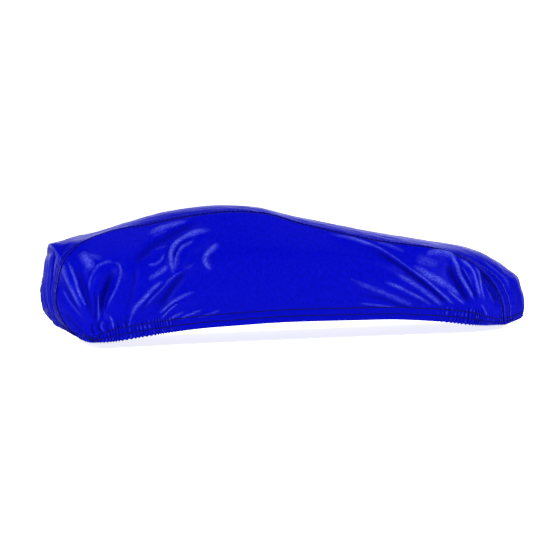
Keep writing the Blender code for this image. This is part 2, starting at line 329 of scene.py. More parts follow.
# sharp ridges and troughs within them
sharpFolds = creases(
    # behind the tongue
    (((-1.565, .765), (-1.553, .63), (-1.51, .49), (-1.45, .35)), .016, .0095, .3),
    (((-1.535, .785), (-1.495, .64), (-1.46, .49), (-1.39, .33)), .014, .0095, .3),
    (((-1.595, .6), (-1.555, .47), (-1.46, .31)), .018, -.008),
    (((-1.6, .55), (-1.565, .44), (-1.45, .27)), .014, .005),
    (((-1.475, .74), (-1.435, .58), (-1.39, .4), (-1.37, .26)), .028, -.015),
    (((-1.43, .82), (-1.34, .8), (-1.26, .81)), .022, .005),
    (((-1.42, .815), (-1.37, .76), (-1.35, .68)), .05, .006, 0, .3, .3, .6),
    (((-1.47, .83), (-1.4, .8), (-1.3, .79), (-1.22, .81)), .03, .004, 0, .3, .3, .25),
    (((-1.6, .36), (-1.52, .22), (-1.42, .12)), .02, -.008),
    # the tongue and its hollow
    (((-1.39, .42), (-1.37, .6), (-1.3, .71), (-1.21, .75), (-1.14, .75)), .016, .013, 0, .25, .25, .4),
    (((-1.17, .755), (-1.115, .73), (-1.1, .66), (-1.15, .53), (-1.225, .4), (-1.27, .28)),
     .014, .012, -.3, .25, .25, .5),
    (((-1.17, .7), (-1.215, .58), (-1.27, .45), (-1.29, .3)), .036, -.023, 0, .2, .25, -.8),
    (((-1.19, .69), (-1.25, .57), (-1.285, .46)), .016, .004),
    (((-1.33, .52), (-1.335, .37), (-1.345, .2)), .014, -.009),
    (((-1.31, .5), (-1.315, .36), (-1.32, .2)), .01, .006),
    (((-1.36, .24), (-1.375, .18), (-1.35, .13)), .01, -.007, 0, .2, .2, -1),
    (((-1.29, .27), (-1.325, .21), (-1.3, .15)), .01, -.008, 0, .2, .2, -1),
    (((-1.27, .25), (-1.295, .2), (-1.27, .15)), .008, .005, 0, .2, .2, .5),
    (((-1.22, .24), (-1.25, .19), (-1.235, .15)), .009, -.007, 0, .2, .2, -1),
    (((-1.14, .27), (-1.15, .21), (-1.13, .15)), .009, -.006, 0, .2, .2, -.8),
    (((-1.05, .31), (-1.08, .24), (-1.07, .17)), .01, -.006, 0, .2, .2, -.7),
    (((-1.01, .33), (-1.04, .25), (-1.03, .18)), .009, .005, 0, .2, .2, .5),
    (((-1.22, .3), (-1.2, .24), (-1.19, .17)), .012, .006),
    # the haunch
    (((-.84, .96), (-.675, 1.02), (-.54, 1.05), (-.36, 1.085)), .026, .018, 0, .3, .3, .6),
    (((-.8, .93), (-.7, .975), (-.6, 1)), .018, .005, 0, .3, .3, .3),
    (((-.31, 1.09), (-.45, 1.04), (-.61, .965), (-.77, .895), (-.91, .8), (-1, .68)), .032, -.017),
    (((-.96, .74), (-.99, .6), (-1.03, .45), (-1.09, .28)), .03, -.0085),
    (((-.23, 1), (-.39, .975), (-.515, .92), (-.61, .855), (-.655, .76), (-.64, .62)),
     .024, .02, 0, .25, .15),
    (((-.4, .93), (-.55, .855), (-.605, .77), (-.63, .66)), .012, .008),
    (((-.42, .945), (-.55, .88), (-.6, .82), (-.635, .76)), .01, -.009),
    (((-.205, .885), (-.28, .835), (-.355, .765), (-.35, .71), (-.3, .65)), .021, .014, 0, .2, .2),
    (((-.3, .8), (-.3, .75), (-.29, .7)), .022, -.004),
    (((-.7, .82), (-.735, .76), (-.8, .725), (-.87, .725)), .014, .005),
    (((-.66, .87), (-.74, .86), (-.84, .83)), .016, .0035),
    (((-.68, .71), (-.75, .66), (-.88, .585)), .024, .011),
    (((-.41, .755), (-.53, .67), (-.65, .61), (-.765, .505), (-.875, .4), (-.95, .31)),
     .013, .0095, .3, .25, .25, .5),
    (((-.48, .7), (-.6, .58), (-.71, .44), (-.79, .31)), .03, -.016),
    (((-.7, .575), (-.79, .5), (-.9, .39), (-.97, .28)), .011, -.0065),
    (((-.71, .59), (-.81, .53), (-.91, .43), (-1, .34), (-1.04, .24)), .019, .011),
    (((-.44, .48), (-.585, .43), (-.695, .365), (-.79, .28)), .014, .0085),
    (((-.6, .39), (-.68, .335), (-.78, .24)), .01, .006),
    (((-.58, .405), (-.68, .35), (-.775, .265)), .008, -.005),
    (((-.38, .315), (-.52, .27), (-.62, .22)), .01, .005),
    (((-.54, .31), (-.66, .255), (-.76, .2)), .01, .005),
    (((-.22, .31), (-.34, .265), (-.47, .24)), .01, .0035),
    # the long crease of the front
    (((.74, .935), (.87, .895), (1.04, .845), (1.2, .775), (1.33, .69), (1.46, .59), (1.6, .485),
     (1.74, .36), (1.86, .25)), .015, .015, -.3, .3, .1),
    (((1.05, .815), (1.2, .75), (1.36, .645), (1.5, .53), (1.64, .41), (1.8, .25)), .022, -.017, 0, .3, .1),
    (((1.1, .8), (1.2, .75), (1.28, .7)), .008, .003),
    (((1.18, .84), (1.3, .8), (1.46, .73)), .022, .005),
    (((1.46, .625), (1.59, .56), (1.72, .48), (1.84, .395), (1.97, .29)), .034, .013),
    (((1.3, .575), (1.44, .495), (1.56, .41), (1.68, .31), (1.77, .24)), .026, .011),
    (((1.36, .455), (1.48, .395), (1.6, .32), (1.68, .26)), .012, -.006),
    (((1.2, .5), (1.37, .43), (1.52, .35), (1.7, .24)), .02, .0085),
    (((.85, .57), (1, .49), (1.18, .41), (1.37, .32), (1.52, .245)), .028, .009, 0, .5, .25, .38),
    (((1.3, .395), (1.45, .33), (1.6, .265)), .011, -.005),
    (((1, .385), (1.17, .35), (1.35, .28), (1.52, .22)), .012, -.006),
    (((.98, .31), (1.16, .285), (1.38, .25)), .011, .004),
    (((1.78, .4), (1.86, .33), (1.95, .25)), .01, .006),
    # the glossy pocket and the sharp folds at the front
    (((1.6, .7), (1.72, .715), (1.84, .69), (1.88, .62)), .034, .007, 0, .4, .3, .9),
    (((1.5, .67), (1.62, .65), (1.76, .6)), .06, .004, 0, .4, .4, .3),
    (((1.52, .585), (1.68, .5), (1.86, .38)), .036, .002, 0, .4, .4, .75),
    (((1.62, .7), (1.74, .71), (1.84, .68), (1.88, .6), (1.91, .5), (1.96, .41), (2.03, .28)),
     .019, .013, 0, .2, .1),
    (((1.8, .64), (1.85, .53), (1.92, .39), (2, .25)), .028, -.018),
    (((1.905, .665), (1.99, .605), (2.04, .53), (2.06, .4), (2.09, .28)), .016, .0105),
    (((1.915, .63), (1.955, .51), (2.02, .38), (2.06, .26)), .014, -.0085),
    (((1.93, .61), (1.98, .5), (2.04, .36)), .007, .003),
    (((2.06, .585), (2.1, .51), (2.1, .38), (2.13, .27)), .014, .009),
    (((2.1, .55), (2.17, .44), (2.24, .33), (2.29, .2)), .022, -.015),
    (((2.16, .47), (2.21, .36), (2.25, .22)), .009, .005),
    (((2.09, .26), (2.13, .19), (2.15, .14)), .009, .006),
    (((2.1, .56), (2.19, .465), (2.265, .36), (2.31, .25), (2.325, .14)), .018, -.006, 0, .1, .2, -.95),
    (((2.13, .46), (2.18, .36), (2.21, .24)), .012, .004, 0, .3, .3, .3),
)


def creaseRise(x, z, one, shift=0.0):
    # how far one crease moves the cloth out at places on the side view
    count = 8 * (len(one.path) - 1) + 1
    knots = np.arange(len(one.path))
    path = smoothCurve(one.path, knots, np.linspace(0, knots[-1], count)) + np.array((shift, 0.0))
    reach = 3 * one.half
    near = (x > path[:, 0].min() - reach) & (x < path[:, 0].max() + reach)
    near &= (z > path[:, 1].min() - reach) & (z < path[:, 1].max() + reach)
    rise = np.zeros_like(x)
    if not near.any():
        return rise
    step = np.diff(path, axis=0)
    offset = np.stack((x[near], z[near]), axis=-1)[:, None] - path[:-1]
    share = np.clip((offset * step).sum(-1) / (step ** 2).sum(-1), 0, 1)
    gap = offset - share[..., None] * step
    away = sizeOf(gap)
    closest = away.argmin(axis=1)
    pick = (np.arange(len(closest)), closest)
    along = (closest + share[pick]) / len(step)
    left = np.sign(step[closest, 0] * gap[pick][:, 1] - step[closest, 1] * gap[pick][:, 0])
    half = one.half * (1 + one.lean * left)
    rise[near] = one.rise * bell(away[pick] / half) * between(along, 0, 1, one.fadeIn, one.fadeOut)
    return rise


def creasePaintedLight(x, z, one, shift=0.0):
    # painted highlight (above zero) along a crest, painted shade (below zero) along a trough
    taut = max(-1.0, min(0.85, 1.3 * one.rise / one.half)) if one.taut is None else one.taut
    narrow = one._replace(half=one.half * (0.72 if taut > 0 else 0.95), rise=taut)
    return creaseRise(x, z, narrow, shift)


# ---- the gathered hem ----

gather = {
    # first and last x of the side hem, and the length over which each end fades out
    "stretches": ((-1.5, -0.5, 0.1, 0.3), (1.56, 2.36, 0.36, 0.1)),
    "pitch": 0.031,  # from ruffle to ruffle
    "pitchWaves": (0.22, 9.0, 31.0),  # its change, a share in two waves
    "columns": 7,  # mesh columns in one ruffle
    "smoothColumn": 0.0125,  # width of a mesh column elsewhere
    "depth": 0.0082,  # half depth of a ruffle
    "sizes": (0.35, 1.35),  # against it
    "rows": (0.053, 0.111),  # heights of the two stitch rows above the edge
    "casing": (0.8, 1.0, 0.5, 1.0, 0.5, 0.85),  # depth from the edge to over the rows
    "pinch": 0.006,  # how deep a stitch row lies
    "pinchHalf": 0.009,
    "pinchFade": 0.03,  # from a sewn edge
    "reach": (0.012, 0.06),  # how far ruffles run on above the upper row
    "over": 0.02,  # the cloth above that row puffs up over this
    "edgeWave": (0.0045, 0.02),  # the edge rises and falls, and dies out over
    # from this x, over this length, the hem turns under by this share
    "turned": {"tail": (-1.13, -0.22, 0.45), "nose": (1.95, 0.35, 0.48)},
    "crestHighlight": (0.7, 0.22),  # painted highlight on ruffle tops: how pale, and half width in ruffles
    # painted shade in the grooves of the ruffles: how dark, and half width in ruffles
    "grooveShade": (0.8, 0.15),
    "shineHalves": (0.01, 0.014, 0.014),  # of the shine under, between and over the rows
}


def turnedHeight(height, x):
    # height along the cloth, which is seen shorter where the hem turns under
    left = 1.0
    for start, length, share in gather["turned"].values():
        left = left - share * smoothStep((x - start) / length)
    return height / left


def gathering(x):
    # 1 where the elastic gathers the side hem, 0 where it hangs smooth
    return np.maximum(*(between(x, *stretch) for stretch in gather["stretches"]))


def ruffleTable(points, strength, seed):
    # along a hem: the mesh columns so far and the random size, reach and strength of painted highlight of
    # each ruffle
    length = metres(points)
    share, slow, quick = gather["pitchWaves"]
    pitch = gather["pitch"] * (1 + share * np.sin(slow * length + seed) + share * np.sin(quick * length))
    fine, coarse = gather["columns"] / pitch, 1 / gather["smoothColumn"]
    density = coarse + (fine - coarse) * np.clip(strength * 3, 0, 1)
    middle = (density[1:] + density[:-1]) / 2
    columns = np.concatenate(([0], np.cumsum(middle * np.diff(length))))
    columns *= round(columns[-1]) / columns[-1]
    random = np.random.RandomState(seed)
    count = int(columns[-1] / gather["columns"]) + 2
    size = random.uniform(*gather["sizes"], count)
    least, most = gather["reach"]
    reach = random.uniform(0, 1, count) ** 2 * (most - least) + least
    return {"columns": columns, "size": size, "reach": reach,
            "glossAndPaintedShine": random.uniform(0, 1, (count, 3)) ** 1.5}


def rufflePaintedLight(table, place, height):
    # painted shade in the grooves of the ruffles, painted highlight here and there on top
    wave = place / gather["columns"]
    part = wave - np.floor(wave)
    number = np.clip(np.floor(wave).astype(int), 0, len(table["size"]) - 1)
    (pale, crestHalf), (dark, grooveHalf) = gather["crestHighlight"], gather["grooveShade"]
    groove = bell(np.minimum(part, 1 - part) / grooveHalf) * (0.4 + 0.6 * table["size"][number])
    lower, upper = gather["rows"]
    shines = zip((lower / 2, (lower + upper) / 2, upper + 0.022), gather["shineHalves"])
    total = sum(bell((height - middle) / half) * table["glossAndPaintedShine"][number, k]
                for k, (middle, half) in enumerate(shines))
    crest = pale * bell((part - 0.5) / crestHalf) * total
    reach = np.exp(-np.clip(height - upper - 0.01, 0, None) / (0.6 * table["reach"][number]))
    return (crest - dark * groove) * reach


def ruffle(table, place, strength, height):
    # how far they stand out at a height above the edge; place counts mesh columns
    wave = place / gather["columns"]
    size, reach = (np.interp(wave, np.arange(len(table[k])), table[k]) for k in ("size", "reach"))
    puff = np.abs(np.sin(math.pi * wave)) ** 0.75 * 2 - 1.1
    lower, upper = gather["rows"]
    over = upper + gather["over"]
    levels = (0, lower / 2, lower, (lower + upper) / 2, upper, over)
    casing = np.interp(height, levels, gather["casing"])
    above = np.exp(-np.clip(height - over, 0, None) / reach)
    return strength * size * gather["depth"] * puff * casing * above


def pinches(height, strength):
    # the two stitch rows lie in shallow grooves
    total = sum(bell((height - row) / gather["pinchHalf"]) for row in gather["rows"])
    return -gather["pinch"] * (0.5 + 0.5 * strength) * total


# fine pleats that fan out of the gathers: x at the hem, lean from the vertical in degrees
pleats = {
    "rear": ((-1.46, -32), (-1.4, -22), (-1.33, -3), (-1.25, 12), (-1.1, 24), (-0.95, 38),
             (-0.8, 55), (-0.66, 68)),
    "front": ((1.36, -72), (1.55, -64), (1.75, -52), (1.95, -34), (2.12, -20), (2.28, -12)),
    "leanSpread": 7,  # degrees
    "spacing": 0.036,
    "start": 0.095,  # height above the edge
    "length": (0.07, 0.2),
    "half": (0.006, 0.01),
    "rise": (0.0015, 0.0042),
    "ridges": 0.6,  # share of them that stand out
    "knee": 0.35,  # share of the length below the bend
    "bend": 0.35,  # how much they straighten up as they near the hem
}


def finePleats(seed):
    random = np.random.RandomState(seed)
    hemLine = np.array([(r.hemX, r.hemZ) for r in sides])
    spreadBy, knee = pleats["leanSpread"], pleats["knee"]
    made = []
    for zone in ("rear", "front"):
        fan = np.array(pleats[zone], float)
        x = fan[0, 0]
        while x < fan[-1, 0]:
            lean = math.radians(np.interp(x, *fan.T) + random.uniform(-spreadBy, spreadBy))
            length = random.uniform(*pleats["length"])
            path = [np.array((x, np.interp(x, *hemLine.T) + pleats["start"]))]
            for share, turn in ((knee, lean * pleats["bend"]), (1 - knee, lean)):
                path.append(path[-1] + share * length * np.array((math.sin(turn), math.cos(turn))))
            rise = random.uniform(*pleats["rise"]) * (1 if random.rand() < pleats["ridges"] else -1)
            half = random.uniform(*pleats["half"])
            made.append(Crease(path, half, rise, 0, 0.2, 0.7))
            x += pleats["spacing"] * random.uniform(0.5, 1.5)
    return made


# ---- side panels ----

sideCloth = {
    "rows": 80,  # mesh rows from the seam to the hem
    "depth": 0.9,  # about, in metres
    "rowGrowth": 0.12,  # they are a little finer towards the hem
    "seamRows": (0.0025, 0.006, 0.011, 0.018),  # extra rows next to the seam, as shares
    "edgeColumns": (0.0012, 0.003, 0.0055),  # and extra columns next to both ends
    "seamDip": 0.009,  # the sewn edge turns in by this
    "seamRoll": 0.008,  # over this width
    "seamFree": 0.035,  # creases reach full depth this far from the seam
    "foldStart": (0.55, 0.9),  # shares of the upper row's height: from, grown over
    "foldPaintedLight": (0.08, 0.05),  # heights: painted highlight and shade of the creases from, grown over
    "ruffleFree": (0.04, 0.1),  # ruffles this far from the ends and from the seam
    "leftDrift": 0.045,  # on the left panel each crease is shifted and changed
    "leftShare": 0.9,
    "waver": 0.0007,  # slight unevenness of the taut cloth
    "seamShade": (2.2, 0.006),  # deep shade in the seam, over this width
    "seeds": {-1: (3, 5), 1: (8, 6)},  # of the ruffles and the pleats
}


def unevenness(x, z, seed):
    # slight broad waves in taut cloth
    random = np.random.RandomState(seed)
    total = np.zeros_like(x)
    for _ in range(7):
        turn, size, phase = random.uniform(0, math.pi), random.uniform(14, 38), random.uniform(0, 6)
        total += np.sin(size * (x * math.cos(turn) + z * math.sin(turn)) + phase)
    return total / 2.6


pucker = {
    "size": 0.0028,
    "least": 0.25,  # share of it where the seam is straight
    "drops": (7, 3, 16.5, 2),  # sections: before, over, after, over
    "waves": ((0.6, 11.3, 1.7), (0.4, 24.1, 1.0)),  # share, pace, shift by side
    "reach": {"side": 0.05, "top": 0.06},
}


def puckerShift(at, side):
    # the seam is slightly drawn in and out along its length, more at the two drops
    tail, tailOver, nose, noseOver = pucker["drops"]
    loose = smoothStep((tail - at) / tailOver) + smoothStep((at - nose) / noseOver)
    wave = sum(share * np.sin(pace * at + shift * side) for share, pace, shift in pucker["waves"])
    return pucker["size"] * (pucker["least"] + loose) * wave


class SidePanel:
    # the surface of a side panel with its creases and ruffles

    def __init__(self, side):
        self.side = side
        self.at = np.linspace(form["rearCorner"], form["frontCorner"], 3001)
        hem = sidePoint(self.at, np.ones_like(self.at), side)
        seed, pleatSeed = sideCloth["seeds"][side]
        self.table = ruffleTable(hem, gathering(hem[:, 0]), seed)
        self.creases = broadFolds + sharpFolds + finePleats(pleatSeed)

    def columns(self):
        # section numbers of the mesh columns, fine in the gathers
        table = self.table["columns"]
        at = np.interp(np.arange(round(table[-1]) + 1), table, self.at)
        edge = np.array(sideCloth["edgeColumns"]) * (form["frontCorner"] - form["rearCorner"])
        extra = np.concatenate((at[0] + edge, at[-1] - edge))
        keep = (at <= at[0]) | (at >= at[-1]) | ((at > extra[:3].max()) & (at < extra[3:].min()))
        return np.sort(np.concatenate((at[keep], extra)))

    def rows(self):
        share = np.linspace(0, 1, sideCloth["rows"])
        share = share * (1 + sideCloth["rowGrowth"] - sideCloth["rowGrowth"] * share)
        first = sideCloth["seamRows"]
        return np.concatenate(([0.0], first, share[share > first[-1] * 1.4]))

    def ground(self, at, down):
        # the smooth panel, height above the hem, how gathered, distance from the seam
        base, hem = (sidePoint(at, d, self.side) for d in (down, np.ones_like(down)))
        height = turnedHeight(base[..., 2] - hem[..., 2], hem[..., 0])
        return base, height, gathering(hem[..., 0]), sizeOf(base - sidePoint(at, 0 * down, self.side))

    def drift(self, n):
        return 0.0 if self.side < 0 else sideCloth["leftDrift"] * math.sin(2.3 * n + 1.0)

    def paintedLightAndShade(self, at, down):
        # painted highlight, 1 on a sharp crest, and painted shade, -1 at the bottom of a sharp trough;
        # painted highlight and shade on the ruffles, painted shade in the seam
        base, height, strength, fromSeam = self.ground(at, down)
        tones = [creasePaintedLight(base[..., 0], base[..., 2], one, self.drift(n))
                 for n, one in enumerate(sharpFolds, len(broadFolds))]
        tone = np.clip(np.max(tones, axis=0), 0, None) + np.clip(np.min(tones, axis=0), None, 0)
        place = np.interp(at, self.at, self.table["columns"])
        start, grown = sideCloth["foldPaintedLight"]
        above = smoothStep((height - start) / grown)
        shade, width = sideCloth["seamShade"]
        return (tone * above + rufflePaintedLight(self.table, place, height) * strength
                - shade * bell(fromSeam / width))

    def surface(self, at, down):
        at, down = spread(at, down)
        side = self.side
        base, height, strength, fromSeam = self.ground(at, down)
        normal = side * normalOf(lambda u, v: sidePoint(u, v, side), at, down)
        fromRear, fromFront = (sizeOf(base - sidePoint(np.full_like(at, form[end]), down, side))
                               for end in ("rearCorner", "frontCorner"))
        fromEnd = np.minimum(fromRear, fromFront)
        fromEdge = np.minimum(fromSeam, fromEnd)
        x, z = base[..., 0], base[..., 2]
        start, grown = (gather["rows"][1] * share for share in sideCloth["foldStart"])
        casing = smoothStep((height - start) / grown)
        folds = np.zeros_like(x)
        for n, one in enumerate(self.creases):
            share = 1.0 if side < 0 else sideCloth["leftShare"] * (1 + 0.3 * math.sin(1.7 * n))
            folds += share * creaseRise(x, z, one, self.drift(n))
        folds += sideCloth["waver"] * unevenness(x, z, 21 + side)
        move = folds * casing * smoothStep(fromEdge / sideCloth["seamFree"])
        place = np.interp(at, self.at, self.table["columns"])
        endFree, seamFree = sideCloth["ruffleFree"]
        endFade = smoothStep(fromEnd / endFree) * smoothStep(fromSeam / seamFree)
        move += ruffle(self.table, place, strength, height) * endFade
        move += pinches(height, strength) * smoothStep(fromEdge / gather["pinchFade"])
        dip = sideCloth["seamDip"] * bell(fromEdge / sideCloth["seamRoll"])
        point = base + normal * move[..., None] - outward(base) * dip[..., None]
        rise, over = gather["edgeWave"]
        wave = np.sin(2 * math.pi * place / gather["columns"] + 0.7) * strength * np.exp(-height / over)
        point[..., 2] += rise * wave * endFade
        endAt = np.where(fromRear < fromFront, edgeSection(down, -1), edgeSection(down, 1))
        seamAt = np.where(fromSeam <= fromEnd, at, endAt)
        shift = puckerShift(seamAt, side) * bell(fromEdge / pucker["reach"]["side"])
        return point + outward(base) * shift[..., None]


# ---- the top panel and the seam bands ----

topCloth = {
    "columns": 170,  # mesh columns across
    "row": 0.034,  # length of a mesh row on the smooth top
    "hemRow": 0.01,  # within the gathered ends
    "hemZone": 0.24,
    "lipRow": 0.013,  # and round the tail lip and the nose
    "lipZones": ((4, 6.5), (17.5, 20.5)),  # sections
    "edgeFree": 0.04,  # creases reach full depth this far from the bands
    "tuck": (0.009, 0.0035, 0.006),  # width sewn in, how far it turns down, over what
    "ruffleZone": (0.5, 0.2),  # heights: they end at, fading over
    "pinchFade": 0.05,  # share of the half width
    "longer": (0.6, 0.39),  # tail and nose: longer at the seams by this share
    "seeds": (14, 15),  # of the ruffles there
    "waver": 0.0012,
}

# creases of the top panel: section number and metres to the left
topFolds = creases(
    (((.9, -.26), (3, -.25), (4.7, -.22)), .034, -.022, 0, .2, .15, -1),
    (((1.2, -.34), (2.8, -.34), (4.4, -.37)), .024, .008, 0, .3, .3, .3),
    (((.9, -.13), (2.6, -.1), (4.6, -.13)), .038, .016, 0, .2, .2, .5),
    (((.9, .02), (2.6, .04), (4.4, .02)), .034, -.012, 0, .2, .3, -.5),
    (((.9, .16), (2.7, .18), (4.6, .2)), .036, .012, 0, .2, .2, .5),
    (((.9, .28), (2.8, .29), (4.2, .3)), .03, -.012, 0, .2, .3, -.5),
    (((.9, .38), (2.8, .38), (4.4, .38)), .03, .008, 0, .2, .3, .4),
    (((4.9, -.4), (5.6, -.33), (6.2, -.3)), .03, -.007, 0, .3, .4, -.4),
    # the nose
    (((18.9, -.42), (19.6, -.4), (20.4, -.4)), .03, -.006, 0, .3, .3, -.5),
    (((18.8, -.3), (19.6, -.28), (20.5, -.29)), .034, .007, 0, .3, .3, .35),
    (((18.9, -.14), (19.7, -.13), (20.5, -.12)), .03, -.006, 0, .3, .3, -.5),
    (((18.9, .05), (19.8, .04), (20.5, .05)), .04, .006, 0, .3, .3, .25),
    (((17.6, -.52), (18.6, -.5), (19.6, -.49)), .03, .005, 0, .3, .3, .3),
)


def bandWidth(at):
    tail, nose = form["bandWiden"]
    return form["bandWidth"] + tail * smoothStep((7 - at) / 3) + nose * smoothStep((at - 16) / 3)


def bandEdge(at, side):
    # how far across the seam band ends and the top panel starts
    return 1.0 - bandWidth(at) / np.abs(seamPoint(at, side)[..., 1])


centreAt = np.linspace(0, lastSection, 4001)
centreLength = metres(topPoint(centreAt, 0))
topLength = centreLength[-1]


def lengthTo(at):
    # metres along the centre line up to a section number
    return np.interp(at, centreAt, centreLength)


def sectionAt(length):
    return np.interp(length, centreLength, centreAt)


def topHemTable(at, seed):
    across = np.linspace(-1, 1, 1501)
    return across, ruffleTable(topPoint(at, across), np.ones_like(across), seed)


hemTables = [topHemTable(at, seed) for at, seed in zip((0, lastSection), topCloth["seeds"])]


def endTurn(across):
    # share of the height that is left where the tail and nose hems turn under
    tail, nose = (gather["turned"][end][2] for end in ("tail", "nose"))
    return 1 - tail * across ** 2, 1 - nose + 0 * across


def endHeights(at, across):
    # heights above the tail hem and the nose hem
    length = lengthTo(at)
    return [height * (1 + longer * across ** 2) / left for height, longer, left in
            zip((length, topLength - length), topCloth["longer"], endTurn(across))]


def topMove(at, across):
    # how far creases and ruffles move it out, and the painted highlight and shade on it
    length = lengthTo(at)
    y = topPoint(at, across)[..., 1]
    folds, taut = np.zeros_like(length), np.zeros_like(length)
    for one in topFolds:
        one = one._replace(path=[(lengthTo(section), left) for section, left in one.path])
        folds += creaseRise(length, y, one)
        taut += creasePaintedLight(length, y, one)
    folds += topCloth["waver"] * unevenness(length, y, 33)
    end, fade = topCloth["ruffleZone"]
    inner = smoothStep((1 - np.abs(across)) / topCloth["pinchFade"])
    for (shares, table), height in zip(hemTables, endHeights(at, across)):
        place = np.interp(across, shares, table["columns"])
        near = smoothStep((end - height) / fade)
        folds += ruffle(table, place, np.ones_like(height), height) * near
        folds += pinches(height, np.ones_like(height)) * inner
        taut += rufflePaintedLight(table, place, height) * near
    return folds, taut


def topSurface(at, across):
    at, across = spread(at, across)
    base = topPoint(at, across)
    edge, shift = (np.where(across < 0, of(at, -1), of(at, 1)) for of in (bandEdge, puckerShift))
    fromEdge = (edge - np.abs(across)) * np.abs(seamPoint(at, 1)[..., 1])
    move = topMove(at, across)[0] * smoothStep(fromEdge / topCloth["edgeFree"])
    tuck = topCloth["tuck"][1] * smoothStep(-fromEdge / topCloth["tuck"][2])
    point = base + normalOf(topPoint, at, across) * move[..., None] - outward(base) * tuck[..., None]
    return point + outward(base) * (shift * bell(fromEdge / pucker["reach"]["top"]))[..., None]


band = {
    "row": 0.011,
    "columns": (0.0, 0.08, 0.16, 0.22, 0.28, 0.42, 0.52, 0.58, 0.64, 0.76, 0.84, 0.9, 0.95, 1.0),
    "swell": (0.0016, 0.12),  # the doubled cloth stands proud, from this share of the width
    "seamFade": 0.004,
    "stitchRows": (0.22, 0.58),  # share of the width, from the top panel to the seam
    "stitchDip": (0.0016, 0.005),  # depth and half width
    "lip": (0.003, 0.01, 0.006),  # rolled edge: height, how far from the seam, half width
    # painted highlight along the rolled edge: how pale, how far from the seam, half width
    "lipHighlight": (0.35, 0.013, 0.005),
    "dip": (0.009, 0.005),  # the sewn edge turns in: depth and half width
    "grooveShade": (2.2, 0.0055, 0.003),  # deep shade: how deep, half width, wider by this at the tail
    "shine": (0.5, 17.8, 0.5, 0.45, 0.12),  # painted highlight: how pale, section and share, half sizes
    "rowShadeAndHighlight": ((-1.0, 0.0), (0.45, 0.12)),  # painted shade on each stitch row, painted highlight beside it
    "rowHalf": 0.05,
}


def bandSurface(at, share, side):
    # share runs from 0 at the top panel to 1 at the seam
    at, share = spread(at, share)
    edge = bandEdge(at, side)
    across = side * (edge + (1 - edge) * share)
    base = topPoint(at, across)
    width = bandWidth(at)
    fromSeam = (1 - share) * width
    swell, grown = band["swell"]
    move = swell * smoothStep(share / grown)
    dip, half = band["stitchDip"]
    for row in band["stitchRows"]:
        move -= dip * bell((share - row) * width / half)
    lip, lipAt, lipHalf = band["lip"]
    move += lip * bell((fromSeam - lipAt) / lipHalf)
    move *= smoothStep(fromSeam / band["seamFade"])
    dip, half = band["dip"]
    shift = puckerShift(at, side) - dip * bell(fromSeam / half)
    return base + normalOf(topPoint, at, across) * move[..., None] + outward(base) * shift[..., None]


def bandPaintedLight(at, share):
    # painted highlight on the rolled edge, on a patch and beside the stitch rows; painted shade in the seam
    # groove and on the stitch rows
    fall = (1 - share) * bandWidth(at)
    lip, lipAt, lipHalf = band["lipHighlight"]
    deep, half, wider = band["grooveShade"]
    groove = half + wider * smoothStep((7 - at) / 2)
    taut = lip * bell((fall - lipAt) / lipHalf) - deep * bell(fall / groove)
    pale, where, length, middle, half = band["shine"]
    taut += pale * bell((at - where) / length) * bell((share - middle) / half)
    for row in band["stitchRows"]:
        for tone, beside in band["rowShadeAndHighlight"]:
            taut += tone * bell((share - row - beside) / band["rowHalf"])
    return taut


# ---- materials ----


def hexColour(value):
    # sRGB hex to linear
    parts = [int(value[k:k + 2], 16) / 255 for k in (1, 3, 5)]
    return [p / 12.92 if p <= 0.04045 else ((p + 0.055) / 1.055) ** 2.4 for p in parts] + [1.0]


def setInputs(node, values):
    for name, value in values.items():
        node.inputs[name].default_value = value


def addNode(tree, kind, inputs={}, links={}, **settings):
    # adds a node with its input values, links and settings, and gives back its outputs
    node = tree.nodes.new("ShaderNode" + kind)
    for name, value in settings.items():
        setattr(node, name, value)
    setInputs(node, inputs)
    for name, socket in links.items():
        tree.links.new(socket, node.inputs[name])
    return node.outputs


def newMaterial(name):
    material = bpy.data.materials.new(name)
    material.use_nodes = True
    tree = material.node_tree
    return material, tree, tree.nodes["Principled BSDF"]


satin = {
    "colour": "#010490",
    "deepColour": "#00017C",
    "crestHighlightColour": "#353CA0",  # painted highlight over a crest
    "troughShadeColour": "#000166",  # painted shade in a trough
    "seamColour": "#00001E",  # deep in a seam, where no light gets in
    "roughness": (0.4, 0.48),
    "cloud": 5.0,  # cycles in a metre, of roughness
    "dull": 0.35,  # troughs are this much rougher
    "sheen": 0.3,  # brushed fibres, pale seen edge on
    "sheenRoughness": 0.15,
    "sheenColour": "#C8CCFF",
    "specular": 0.02,
    "rib": 0.015,  # diagonal ribs, drawn coarser than the real ones of 0.8 mm
    "ribLength": 0.4,  # against their width
    "ribTurn": 52,  # degrees
    "ribDepth": 0.0003,
    "speckle": 0.015,  # painted highlight that breaks up over the stitches
    "patches": 16.0,  # cycles in a metre, where the painted highlight is paler and darker
    "grain": 0.011,  # uneven stitches of the knit, drawn coarse as well
    "grainDepth": 0.0005,
}


